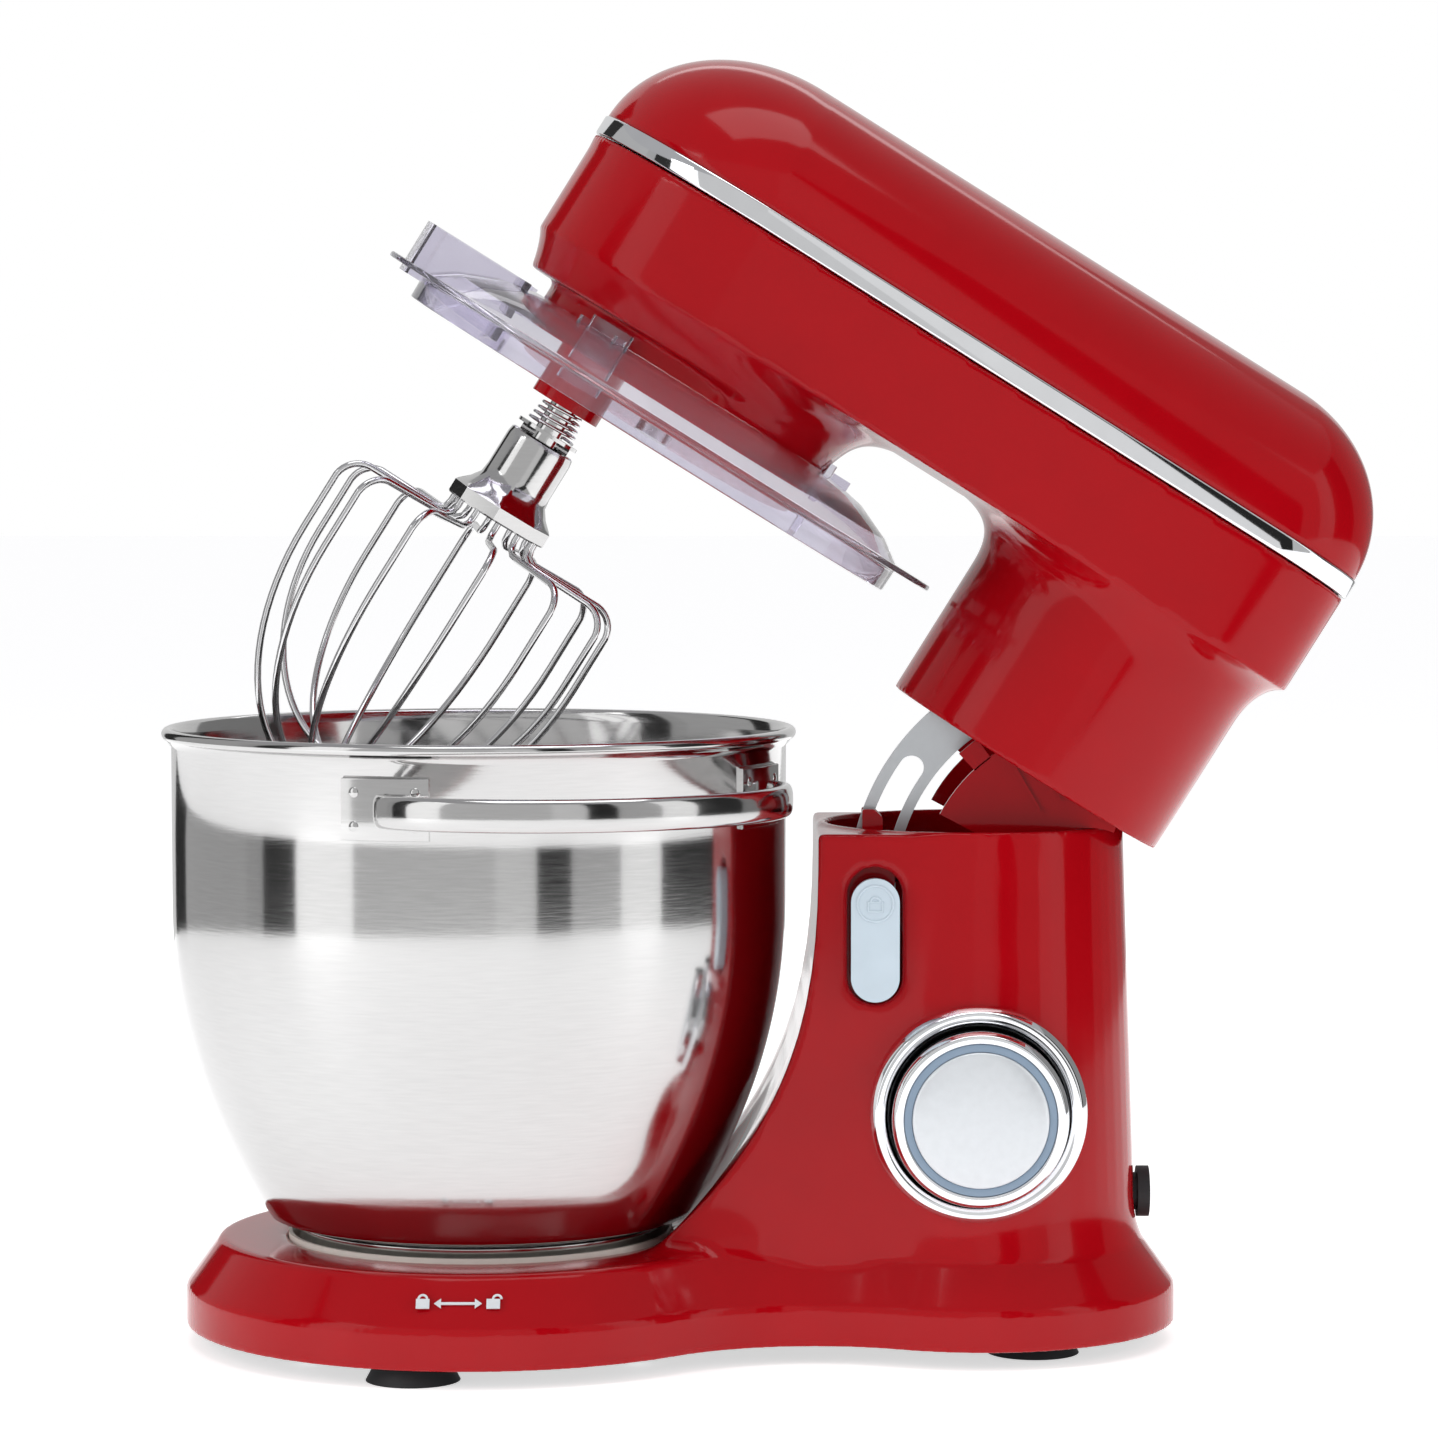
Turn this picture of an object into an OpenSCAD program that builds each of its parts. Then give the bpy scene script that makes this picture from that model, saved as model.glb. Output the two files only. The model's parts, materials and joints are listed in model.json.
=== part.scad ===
// Tilt-head stand mixer, 6 litre class, with its head tilted up.
// Millimetres. The geometry is worked out around the bowl's axis, with the table at z = 0,
// +Z up, +X from the nose to the column and -Y towards the side with the speed knob.

/* [Base and column] */
// Radius of the base under the bowl
base_r = 110; // [106:1:114]
// Radius of the base under the column
heel_r = 75; // [73:1:78]
// Height of the base's underside over the table
skirt_z = 6.5; // [5:0.5:8]
// Height of the base's flat top
deck_z = 39; // [38:0.5:40]
// Radius of the column at its top
column_r = 56.5; // [56:0.25:56.75]
// Height of the column's top edge
column_z = 193.5; // [192:0.5:193.5]
// Wall of the red casings
wall = 2.6; // [2.2:0.1:3]

/* [Bowl] */
// Outer radius of the bowl's straight wall
bowl_r = 114.3; // [112:0.1:115]
// Height of the bowl's rolled rim over the table
rim_z = 229; // [227:0.5:229]
// Sheet thickness of the bowl
bowl_t = 1.1; // [0.8:0.1:1.3]
// How far the bowl's grip stands out from the bowl's axis
grip_reach = 150; // [142:1:155]

/* [Head] */
// Angle that the head is tilted up by
tilt = 32; // [20:1:32]
// Half the width of the head at its chrome band
head_w = 70; // [68:0.5:71]
// Height of the chrome band's lower edge with the head down
band_z = 310.4; // [309:0.2:311]
// Height of the chrome band
band_h = 7.4; // [6:0.2:8]
// Height of the head's top over the band's upper edge
crown_h = 50; // [46:1:54]

/* [Whisk and drive] */
// Largest radius of the whisk's wires
whisk_r = 59; // [52:0.5:60]
// Thickness of the whisk's wires
wire_d = 2.6; // [2:0.1:2.8]
// Number of wire loops in the whisk
loops = 6; // [4:1:6]

/* [Hidden] */
$fn = 64;

// Where the row's origin lies from the bowl's axis: the middle of the whole box.
origin_x = 105.7;
origin_y = -11.7;

// Fixed places
column_x = 183.5;                 // the column's and the neck's axis
column_foot_r = column_r + 5.5;   // the column's radius where it meets the deck
heel_x = 185;                     // centre of the base's rear lobe
waist_r = 75;                     // radius of the hollow between the two lobes
bevel = 13;                       // width of the slope round the deck
bevel_z = 21;                     // where that slope starts
hinge_x = 225;
hinge_z = 169.5;
pin_way = 79.1;                   // distance from the hinge to the latch pin
slot_w = 9.2;                     // width of the slot that the latch pin runs in
pin_r = 4;
neck_r = 57;
neck_z = 195;                     // the neck's lower edge with the head down
arch_z = 270;                     // underside of the head between the nose and the neck
drum_x = -3.6;                    // centre of the nose's round lower part
drum_r = 67.5;
drum_z = 256;
collar_r = 61;
carrier_r = 57.6;
boss_r = 13.8;
boss_z = 218;
shaft_r = 5.5;
shaft_end_z = 186;
hub_r = 13.4;
hub_top_z = 202.4;
hub_low_z = 182;
plate_z = 169;
eps = 0.01;
fit = 0.05;                       // radial clearance of a running fit

// Knob
knob_z = 91.3;
bezel_r = 39.6;
knob_r = 31.9;

// Gears: module and teeth
ring_mod = 1.5;
ring_teeth = 58;
planet_teeth = 14;
orbit = ring_mod * (ring_teeth - planet_teeth) / 2;   // from the bowl's axis to the beater shaft
spur_mod = 1.25;
spur_teeth = 60;
pinion_teeth = 12;
counter_x = spur_mod * (spur_teeth + pinion_teeth) / 2;
motor_x = 180;
big_pulley_r = 40;
small_pulley_r = 10;

// Whisk wire: where it bends and how low it hangs
wire_top_z = 171;
wire_low_z = 47;
bend_r = 10;
shoulder_z = 130;

// ---------------------------------------------------------------- helpers

function flat(list) = [for (a = list) for (b = a) b];
function mean(pts) = [for (k = [0:2]) (min([for (p = pts) p[k]]) + max([for (p = pts) p[k]])) / 2];
function power(v, n) = sign(v) * pow(abs(v), 2 / n);
function arc(cx, cy, r, a0, a1, n) =
    [for (i = [0:n]) let (a = a0 + (a1 - a0) * i / n) [cx + r * cos(a), cy + r * sin(a)]];
function at_z(pts, z) = [for (p = pts) [p[0], p[1], z]];

// Skins a list of rings of equal length. The rings run anticlockwise from above and upwards
// on an outer surface. A loop has no caps: its last ring joins its first.
module loft(rings, loop = false) {
    n = len(rings[0]);
    m = len(rings);
    ends = loop ? [] : [mean(rings[0]), mean(rings[m - 1])];
    sides = [for (i = [0:loop ? m - 1 : m - 2]) for (j = [0:n - 1])
        let (a = i * n + j, b = i * n + (j + 1) % n,
             c = ((i + 1) % m) * n + j, d = ((i + 1) % m) * n + (j + 1) % n)
        each [[a, c, b], [b, c, d]]];
    caps = loop ? [] : [for (j = [0:n - 1])
        each [[m * n, j, (j + 1) % n], [m * n + 1, (m - 1) * n + (j + 1) % n, (m - 1) * n + j]]];
    polyhedron(concat(flat(rings), ends), concat(sides, caps));
}

// A round bar along a list of points, with flat ends.
function unit(v) = v / norm(v);
function way(path, i) = unit(path[min(i + 1, len(path) - 1)] - path[max(i - 1, 0)]);
module bar(path, r, up, n = 8) {
    loft([for (i = [0:len(path) - 1])
        let (t = way(path, i), u = unit(cross(up, t)), v = cross(t, u))
        [for (k = [0:n - 1]) path[i] + r * (cos(360 * k / n) * u + sin(360 * k / n) * v)]]);
}

// Moves the finished geometry so that the origin is the middle of its box on the table.
module placed() {
    translate([-origin_x, -origin_y, 0]) children();
}

// Everything on the head is drawn with the head down and then tilted about the hinge.
module tilted() {
    placed() translate([hinge_x, 0, hinge_z]) rotate([0, tilt, 0])
        translate([-hinge_x, 0, -hinge_z]) children();
}

module tube(r, bore, z0, z1) {
    translate([0, 0, z0]) difference() {
        cylinder(r = r, h = z1 - z0);
        translate([0, 0, -1]) cylinder(r = bore, h = z1 - z0 + 2);
    }
}

module rod(r, z0, z1) {
    translate([0, 0, z0]) cylinder(r = r, h = z1 - z0);
}

// A cylinder along Y between two values of y.
module rod_y(r, y0, y1) {
    translate([0, y0, 0]) rotate([-90, 0, 0]) cylinder(r = r, h = y1 - y0);
}

// A cylinder along X between two values of x.
module rod_x(r, x0, x1) {
    translate([x0, 0, 0]) rotate([0, 90, 0]) cylinder(r = r, h = x1 - x0);
}

module box(x0, x1, y0, y1, z0, z1) {
    translate([x0, y0, z0]) cube([x1 - x0, y1 - y0, z1 - z0]);
}

// An involute gear outline. thin narrows each tooth for backlash.
function involute(rb, r) = let (a = acos(rb / r)) tan(a) * 180 / PI - a;
function gear_outline(mod, teeth, add, ded, thin, start = 0) =
    let (rp = mod * teeth / 2, rb = rp * cos(20), ra = rp + add, rd = rp - ded,
         half = 90 / teeth - thin / rp * 90 / PI + involute(rb, rp),
         r0 = max(rb, rd), steps = 4)
    [for (k = [0:teeth - 1]) let (a = start + 360 * k / teeth)
        each concat(rd < rb ? [[rd * cos(a - half), rd * sin(a - half)]] : [],
            [for (i = [0:steps]) let (r = r0 + (ra - r0) * i / steps, b = a - half + involute(rb, r))
                [r * cos(b), r * sin(b)]],
            [for (i = [steps:-1:0]) let (r = r0 + (ra - r0) * i / steps, b = a + half - involute(rb, r))
                [r * cos(b), r * sin(b)]],
            rd < rb ? [[rd * cos(a + half), rd * sin(a + half)]] : [])];

// ---------------------------------------------------------------- base and column

// The base seen from above: two round lobes with a hollow waist, pulled in by d.
function waist_c() = let (a = base_r + waist_r, b = heel_r + waist_r,
    x = (a * a - b * b + heel_x * heel_x) / (2 * heel_x)) [x, sqrt(a * a - x * x)];
function base_outline(d) =
    let (w = waist_c(), a0 = atan2(w[1], w[0]), a1 = atan2(w[1], w[0] - heel_x))
    concat(arc(heel_x, 0, heel_r - d, -a1, a1, 24),
           arc(w[0], w[1], waist_r + d, a1 + 180, a0 + 180, 24),
           arc(0, 0, base_r - d, a0, 360 - a0, 40),
           arc(w[0], -w[1], waist_r + d, 180 - a0, 180 - a1, 24));
function trimmed(pts) =
    [for (i = [0:len(pts) - 1]) if (norm(pts[i] - pts[(i + 1) % len(pts)]) > 0.05) pts[i]];
function base_ring(d, z) = at_z(trimmed(base_outline(d)), z);

// The side view of the wings that sweep from the column down to the deck.
wing_curve = concat([[column_x, deck_z - 4], [64, deck_z - 4]],
    [for (i = [0:16]) let (s = pow(i / 16, 1.4))
        [125.5 - 61 * pow(1 - s, 2.9), deck_z + (column_z - 1 - deck_z) * s]],
    [[column_x, column_z - 1]]);

module wings() {
    intersection() {
        translate([0, 70, 0]) rotate([90, 0, 0]) linear_extrude(140) polygon(wing_curve);
        translate([0, 0, deck_z - 5]) linear_extrude(column_z)
            polygon([[column_x, column_r + 0.1], [60, 49], [60, -49], [column_x, -column_r - 0.1]]);
    }
}

// The space that the bowl needs when it is lifted, turned about the bowl's axis.
function bowl_radius(z) = bowl_r - 0.001587 * pow(max(0, 165 - z), 2.1);
module bowl_clearance() {
    rotate_extrude($fn = 96) polygon(concat([[0, deck_z + eps], [78, deck_z + eps]],
        [for (z = [48:14:160]) [bowl_radius(z) + 7, z]],
        [[bowl_r + 9.5, 176], [bowl_r + 9.5, column_z + 30], [0, column_z + 30]]));
}

module column_body(r_top, r_foot, z0, z1) {
    translate([column_x, 0, z0]) cylinder(r1 = r_foot, r2 = r_top, h = z1 - z0, $fn = 96);
}

button_x = 146;
button_low = 132;
button_high = 177;
button_w = 17.6;
module button_outline(grow, y0, y1, low = button_low, high = button_high) {
    for (z = [low + button_w / 2, high - button_w / 2])
        translate([button_x, 0, z]) rod_y(button_w / 2 + grow, y0, y1);
    box(button_x - button_w / 2 - grow, button_x + button_w / 2 + grow, y0, y1,
        low + button_w / 2, high - button_w / 2);
}

module base_housing() {
    color([0.66, 0.03, 0.06]) difference() {
        union() {
            loft([base_ring(0, skirt_z), base_ring(0, bevel_z), base_ring(bevel, deck_z)]);
            column_body(column_r, column_foot_r, deck_z - 2, column_z);
            wings();
        }
        bowl_clearance();
        // hollow underneath and inside the column
        loft([base_ring(wall, skirt_z - 1), base_ring(wall, bevel_z - 1),
              base_ring(bevel + wall, deck_z - wall)]);
        column_body(column_r - wall, column_foot_r - wall, deck_z - wall - 1, column_z + 1);
        // seat for the bowl's lock ring
        rod(72, 33, deck_z + 5);
        // pocket and slot for the release button, holes for the knob and the cord
        button_outline(1.1, -75, -46.2, button_low - 0.3, button_high + 2.6);
        box(button_x - 5, button_x + 5, -48, -30, button_high - 20, button_high - 4);
        translate([column_x, 0, knob_z]) rod_y(29, -70, -40);
        translate([0, 0, 54]) rod_x(7, 230, 252);
    }
    // cup that holds the bowl's lock ring
    color([0.66, 0.03, 0.06]) difference() {
        rod(75.5, 30, deck_z - wall + 0.2);
        rod(72, 33, deck_z + 5);
    }
}

foot_places = [[-88, 0], [-20, 88], [-20, -88], [205, 36], [205, -36]];
screw_places = [[-60, 60], [-60, -60], [60, 60], [60, -60], [185, 0]];

module base_cover() {
    color([0.2, 0.2, 0.21]) difference() {
        loft([base_ring(wall + 0.3, skirt_z), base_ring(wall + 0.3, skirt_z + 2.5)]);
        for (p = foot_places)
            translate([p[0], p[1], 0]) rod(13, skirt_z - 1, skirt_z + 3);
        for (p = screw_places)
            translate([p[0], p[1], 0]) rod(2.2, skirt_z - 1, skirt_z + 3);
    }
    // bosses that reach up to the deck and take the screws
    color([0.2, 0.2, 0.21]) for (p = screw_places)
        translate([p[0], p[1], 0]) tube(5, 2.2, skirt_z + 2.4, 29.9);
}

module suction_foot() {
    rotate_extrude() polygon([[0, 3], [11, 2.4], [15, 0], [17, 0], [13.6, skirt_z - 0.1],
        [12.9, skirt_z - 0.1], [12.9, skirt_z + 2.6], [14, skirt_z + 2.6], [14, skirt_z + 4], [0, skirt_z + 4]]);
}
module suction_feet() {
    color([0.05, 0.05, 0.055]) for (p = foot_places) translate([p[0], p[1], 0]) suction_foot();
}

module base_screws() {
    color([0.7, 0.7, 0.72]) for (p = screw_places) translate([p[0], p[1], 0]) {
        rod(2.15, skirt_z - 0.5, 26);
        rod(4, skirt_z - 2, skirt_z);
    }
}

module bowl_lock_ring() {
    // the bowl's foot turns in this ring, and its three lugs pass the gaps in the lip
    color([0.6, 0.6, 0.62]) {
        tube(71.9, 70.6, 33, deck_z + 1.5);
        tube(71.9, 40, 33, 34.5);
    }
}

module hinge_bracket() {
    // two lugs that carry the hinge pin, on a block bolted inside the column
    color([0.5, 0.51, 0.53]) difference() {
        union() {
            for (side = [-1, 1]) {
                y = side > 0 ? 15.5 : -21.5;
                translate([hinge_x, 0, hinge_z]) rod_y(8.5, y, y + 6);
                box(hinge_x - 8.5, hinge_x + 8.5, y, y + 6, 110, hinge_z);
            }
            box(hinge_x - 9, hinge_x + 9, -21.5, 21.5, 104, 112);
            box(hinge_x + 4, 237.6, -12, 12, 104, 118);
        }
        translate([hinge_x, 0, hinge_z]) rod_y(pin_r, -60, 60);
    }
}

module hinge_pin() {
    color([0.75, 0.75, 0.77]) translate([hinge_x, 0, hinge_z]) rod_y(pin_r, -23, 23);
}

module hinge_spring() {
    // counterbalance spring wound round the pin between the lugs
    color([0.35, 0.35, 0.37]) translate([hinge_x, 0, hinge_z]) rotate([90, 0, 0])
        for (i = [-1:1]) translate([0, 0, i * 4])
            rotate_extrude() translate([6.3, 0]) circle(r = 2.15, $fn = 24);
}

module knob_bezel() {
    color([0.86, 0.86, 0.88]) translate([column_x, 0, knob_z]) rotate([90, 0, 0])
        rotate_extrude($fn = 96) polygon([[28.8, 50], [28.8, 61], [33.4, 61], [34.4, 65.4],
            [36.5, 66.2], [bezel_r, 63], [bezel_r, 55.5], [37.5, 55.5], [37.5, 57.6], [30.5, 57.6], [30.5, 50]]);
}

module speed_switch() {
    color([0.15, 0.15, 0.16]) translate([column_x, 0, knob_z]) difference() {
        union() {
            rod_y(20, -44, -30);
            box(-16, 16, -42, -30, -27, 27);
        }
        rod_y(4 + fit, -60, -34);
    }
}

module control_board() {
    color([0.1, 0.35, 0.15]) box(column_x - 34, column_x + 34, -30, -28.4, 60, 125);
    color([0.12, 0.12, 0.13]) {
        box(column_x - 30, column_x - 18, -28.4, -14, 66, 84);
        translate([column_x + 20, 0, 75]) rod_y(7, -28.4, -8);
        box(column_x + 8, column_x + 30, -28.4, -20, 96, 118);
    }
    // rails that hold the board to the switch side of the column
    color([0.1, 0.1, 0.11]) for (x = [column_x - 36, column_x + 31])
        box(x, x + 5, -46, -26, 52, 60);
}

module cord_gland() {
    color([0.07, 0.07, 0.075]) translate([0, 0, 54]) difference() {
        union() {
            rod_x(7, 232, 247.6);
            rod_x(9.5, 246, 250.5);
            rod_x(9.5, 234, 238);
        }
        rod_x(3.6, 225, 260);
    }
}

// ---------------------------------------------------------------- release button and latch

module release_button() {
    color([0.70, 0.77, 0.82]) difference() {
        union() {
            button_outline(0, -59.2, -56.4);
            button_outline(-0.6, -56.5, -49.4);
        }
        translate([button_x, 0, 151]) rod_y(2.05, -58.2, -40);
    }
    // tail that reaches the latch through the wall
    color([0.70, 0.77, 0.82]) box(button_x - 4, button_x + 4, -49.5, -33, 162, 170);
}

module latch_pin() {
    // spring bolt that holds the head in the raised and the lowered position
    color([0.72, 0.72, 0.74]) translate([button_x, 0, 166]) rod_y(3, -33, -22);
}

// ---------------------------------------------------------------- knob

module knob_part(points) {
    translate([column_x, 0, knob_z]) rotate([90, 0, 0]) rotate_extrude($fn = 96) polygon(points);
}
module knob_rim() {
    color([0.72, 0.73, 0.75]) knob_part([[27.6, 62], [knob_r, 62], [knob_r, 74], [30.5, 76.4], [27.6, 76.4]]);
}
module knob_light_ring() {
    color([0.55, 0.62, 0.70]) knob_part([[24.6, 62], [27.6, 62], [27.6, 76], [24.6, 76]]);
}
module knob_cap() {
    color([0.88, 0.88, 0.89])
        knob_part([[0, 61.6], [24.6, 61.6], [24.6, 76.2], [23.6, 77.2], [12, 78.4], [0, 78.8]]);
}
module knob_shaft() {
    color([0.6, 0.6, 0.62]) translate([column_x, 0, knob_z]) rod_y(4, -61.6, -35);
}

// ---------------------------------------------------------------- bowl

function bowl_side(d, z0, z1, n) =
    [for (i = [0:n]) let (z = z0 + (z1 - z0) * i / n) [bowl_radius(z) - d, z]];
module bowl_shell() {
    color([0.78, 0.78, 0.79]) rotate_extrude($fn = 96) polygon(concat(
        [[0, 44], [66, 44]], bowl_side(0, 46, 165, 12), [[bowl_r, 225]],
        [for (a = [-60:30:150]) [bowl_r + 1.6 + 2.1 * cos(a), rim_z - 2.2 + 2.1 * sin(a)]],
        [[bowl_r - bowl_t, 224], [bowl_r - bowl_t, 165]],
        [for (i = [11:-1:0]) bowl_side(bowl_t, 47, 165, 12)[i]], [[64, 45.2], [0, 45.2]]));
}
module bowl_foot() {
    color([0.7, 0.7, 0.71]) tube(68, 66, 34.6, 44);
}

grip_z = 206;
grip_from = -104;
grip_to = -24;
// How far the grip stands out from the bowl at a share t of its way round.
function grip_r(t) = bowl_r + 4.45 + (grip_reach - bowl_r - 7.5) * power(sin(180 * t), 3.4);
module bowl_grip() {
    path = [for (i = [0:24]) let (t = i / 24, a = grip_from + (grip_to - grip_from) * t)
        [grip_r(t) * cos(a), grip_r(t) * sin(a)]];
    n = len(path);
    color([0.8, 0.8, 0.81]) loft([for (i = [0:n - 1])
        let (w = path[min(i + 1, n - 1)] - path[max(i - 1, 0)], u = [w[1], -w[0]] / norm(w))
        [for (k = [0:11]) let (a = 30 * k, s = 3 * power(cos(a), 3), h = 6 * power(sin(a), 3))
            [path[i][0] + s * u[0], path[i][1] + s * u[1], grip_z + h]]]);
}
module grip_plates() {
    color([0.8, 0.8, 0.81]) for (a = [grip_from, grip_to]) rotate([0, 0, a - 7])
        translate([0, 0, grip_z - 11]) rotate_extrude(angle = 14) translate([bowl_r, 0]) square([1.4, 22]);
}

// ---------------------------------------------------------------- head

nose_x = -2;
nose_r = head_w + 4;
tail_x = 247;
corner_r = 36;
function head_outline(d) = concat(
    arc(tail_x - corner_r, corner_r - 62, corner_r - d, -88, 0, 8),
    arc(tail_x - corner_r, 62 - corner_r, corner_r - d, 0, 88, 8),
    arc(nose_x, 0, nose_r - d, 93, 267, 32));

crown_front = -14.5;
crown_rear = 194;
// One level of the domed top: a is 0 at the band and 90 on the crest, d is the inset.
function dome_x(x, u) = x < crown_front ? crown_front + (x - crown_front) * u
    : x > crown_rear ? crown_rear + (x - crown_rear) * u : x;
function dome_ring(a, d) = let (t = sin(a), u = cos(a), w = pow(1 - pow(t, 2.3), 1 / 2.3))
    [for (p = head_outline(d)) [dome_x(p[0], u), p[1] * w, band_z + band_h + (crown_h - d) * t]];
module head_upper_shell() {
    color([0.66, 0.03, 0.06])
        loft(concat([for (i = [9:-1:0]) dome_ring(8.8 * i, wall)], [for (i = [0:9]) dome_ring(8.8 * i, 0)]));
}

module head_band() {
    color([0.85, 0.85, 0.87]) translate([0, 0, band_z]) difference() {
        linear_extrude(band_h) polygon(head_outline(-0.8));
        translate([0, 0, -1]) linear_extrude(band_h + 2) polygon(head_outline(wall));
    }
}

module head_core(d) {
    translate([drum_x, 0, drum_z + d]) cylinder(r1 = drum_r - d, r2 = nose_r - 1 - d, h = band_z - drum_z - d);
    translate([0, 0, arch_z + d]) linear_extrude(band_z - arch_z - d) polygon(head_outline(d));
    translate([column_x, 0, neck_z]) cylinder(r = neck_r - d, h = band_z - neck_z - 1);
}
module head_lower_shell() {
    color([0.66, 0.03, 0.06]) difference() {
        union() {
            head_core(0);
            rod(collar_r, 237, drum_z + 1);
        }
        head_core(wall);
        rod(58, 230, drum_z + 10);
        translate([column_x, 0, neck_z - 1]) cylinder(r = neck_r - wall, h = 30);
        translate([0, 0, band_z - 2]) linear_extrude(20) polygon(head_outline(wall));
    }
}

module head_chassis() {
    // die-cast beam inside the nose: the spindle's and the counter shaft's bearings sit in it
    color([0.55, 0.56, 0.58]) difference() {
        union() {
            translate([0, 0, 274]) linear_extrude(4) polygon(head_outline(wall + 0.05));
            rod(16, 250, 280);
            translate([counter_x, 0, 0]) rod(12, 274, 280);
            for (p = [[-56, 0], [70, 52], [70, -52], [110, 0]])
                translate([p[0], p[1], 0]) rod(5, 277, 316);
            translate([0, 0, 300]) linear_extrude(4) polygon([[-61, -9], [118, -9], [118, 9], [-61, 9]]);
        }
        rod(11, 240, 320);
        translate([counter_x, 0, 0]) rod(8, 270, 320);
        translate([column_x, 0, 270]) rod(50, 0, 40);
    }
}

module neck_liner() {
    // floor of the neck, which carries the motor and the ears of the hinge
    color([0.4, 0.41, 0.43]) difference() {
        union() {
            translate([column_x, 0, 0]) rod(neck_r - wall, 206, 210);
            for (y = [8, -14.5]) {
                box(hinge_x - 18, hinge_x - 4, y, y + 6.5, hinge_z + 2, 207);
                translate([hinge_x, 0, hinge_z]) rod_y(8, y, y + 6.5);
            }
        }
        translate([hinge_x, 0, hinge_z]) rod_y(pin_r + fit, -20, 20);
        translate([motor_x, 0, 200]) rod(10, 0, 20);
    }
}

module hook_plate() {
    // sector with the arc slot that the latch pin runs along
    color([0.62, 0.63, 0.62]) intersection() {
        translate([hinge_x, -24.5, hinge_z]) rotate([90, 0, 0]) difference() {
            rotate([0, 0, 140]) rotate_extrude(angle = 84) translate([70.6, 0]) square([17.4, 2.5]);
            translate([0, 0, -1]) rotate([0, 0, 177]) rotate_extrude(angle = 41)
                translate([pin_way - slot_w / 2, 0]) square([slot_w, 5]);
            for (a = [177, 218]) rotate([0, 0, a]) translate([pin_way, 0, -1])
                cylinder(d = slot_w + eps, h = 5);
        }
        box(100, 240, -40, 0, 90, 206);
    }
}

module ring_gear() {
    color([0.6, 0.55, 0.4]) translate([0, 0, 241]) difference() {
        cylinder(r = 58, h = 8);
        translate([0, 0, -1]) linear_extrude(10) polygon(gear_outline(ring_mod, ring_teeth, 1.85, 1.35, -0.2));
    }
}

module motor_frame() {
    color([0.6, 0.61, 0.62]) translate([motor_x, 0, 0]) difference() {
        union() {
            rod(42, 266, 270);
            rod(11, 270, 276);
            for (a = [45:90:315]) rotate([0, 0, a]) translate([46.5, 0, 0]) rod(4, 210, 270);
            for (a = [45:90:315]) rotate([0, 0, a]) box(38, 46, -3, 3, 266, 270);
        }
        rod(4 + fit, 260, 280);
    }
}
module motor_stator() {
    color([0.45, 0.45, 0.47]) translate([motor_x, 0, 0]) tube(42.4, 27, 226, 258);
}
module field_coils() {
    color([0.72, 0.38, 0.16]) translate([motor_x, 0, 0]) {
        tube(38, 30, 258, 263);
        tube(38, 30, 221, 226);
    }
}
module brush_holders() {
    color([0.15, 0.13, 0.1]) translate([motor_x, 0, 0]) for (s = [-1, 1])
        box(min(s * 13.2, s * 29), max(s * 13.2, s * 29), -4, 4, 263, 266);
}
module shaft_bearings() {
    color([0.75, 0.75, 0.76]) {
        tube(11, 7 + fit, 252, 260);
        tube(11, 7 + fit, 270, 279);
        translate([counter_x, 0, 0]) tube(8, 4 + fit, 274, 280);
    }
}
module drive_belt() {
    // open loop round the two pulleys
    color([0.08, 0.08, 0.09]) translate([0, 0, 324]) linear_extrude(8) difference() {
        hull() {
            translate([counter_x, 0]) circle(big_pulley_r + 2.4);
            translate([motor_x, 0]) circle(small_pulley_r + 2.4);
        }
        hull() {
            translate([counter_x, 0]) circle(big_pulley_r + 0.4);
            translate([motor_x, 0]) circle(small_pulley_r + 0.4);
        }
    }
}
module head_screws() {
    color([0.7, 0.7, 0.72]) for (p = [[-56, 0], [70, 52], [70, -52], [110, 0]])
        translate([p[0], p[1], 0]) rod(4.5, 316, 319);
}

module splash_guard() {
    color([0.75, 0.74, 0.82, 0.35]) difference() {
        union() {
            rotate_extrude($fn = 96) polygon([[60.9 + 2, 246.5], [64, 248.6], [80, 245.5], [94, 239.5],
                [102, 233.6], [118, 233.6], [118, 231.6], [103, 231.6], [103, 223], [101, 223],
                [101, 231.4], [93, 237.4], [79, 243.4], [65, 246.3]]);
            for (a = [0, 120, 240]) rotate([0, 0, a]) difference() {
                box(61.6, 64.6, -9.3, 9.3, 230, 253);
                box(61, 66, -4, 4, 236, 242);
            }
            // chute for adding ingredients, at the nose
            chute(0, 232, 250);
        }
        chute(2, 220, 260);
    }
}
module chute(inset, z0, z1) {
    translate([0, 0, z0]) linear_extrude(z1 - z0) polygon(concat(
        arc(0, 0, 112 - inset, 164 + inset, 196 - inset, 8),
        arc(0, 0, 72 + inset, 204 - inset, 156 + inset, 8)));
}

// ---------------------------------------------------------------- motor and drive

module on_motor() {
    translate([motor_x, 0, 0]) children();
}
module motor_shaft() {
    color([0.7, 0.7, 0.72]) on_motor() rod(4, 212, 334);
}
module armature_core() {
    color([0.5, 0.45, 0.4]) on_motor() tube(26, 4, 228, 256);
}
module commutator() {
    color([0.75, 0.45, 0.2]) on_motor() tube(13, 4, 257.5, 265.5);
}
module cooling_fan() {
    color([0.9, 0.9, 0.88]) on_motor() {
        tube(9, 4, 212.5, 220);
        tube(34, 8.5, 212.5, 214);
        for (a = [0:40:320]) rotate([0, 0, a]) box(8.6, 33, -0.8, 0.8, 213.8, 219.5);
    }
}
module motor_pulley() {
    color([0.75, 0.75, 0.77]) on_motor() {
        tube(small_pulley_r, 4, 323, 333);
        tube(small_pulley_r + 2, small_pulley_r - 1, 321, 323.2);
    }
}
module counter_shaft() {
    color([0.7, 0.7, 0.72]) translate([counter_x, 0, 0]) rod(4, 274, 334);
}
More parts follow.
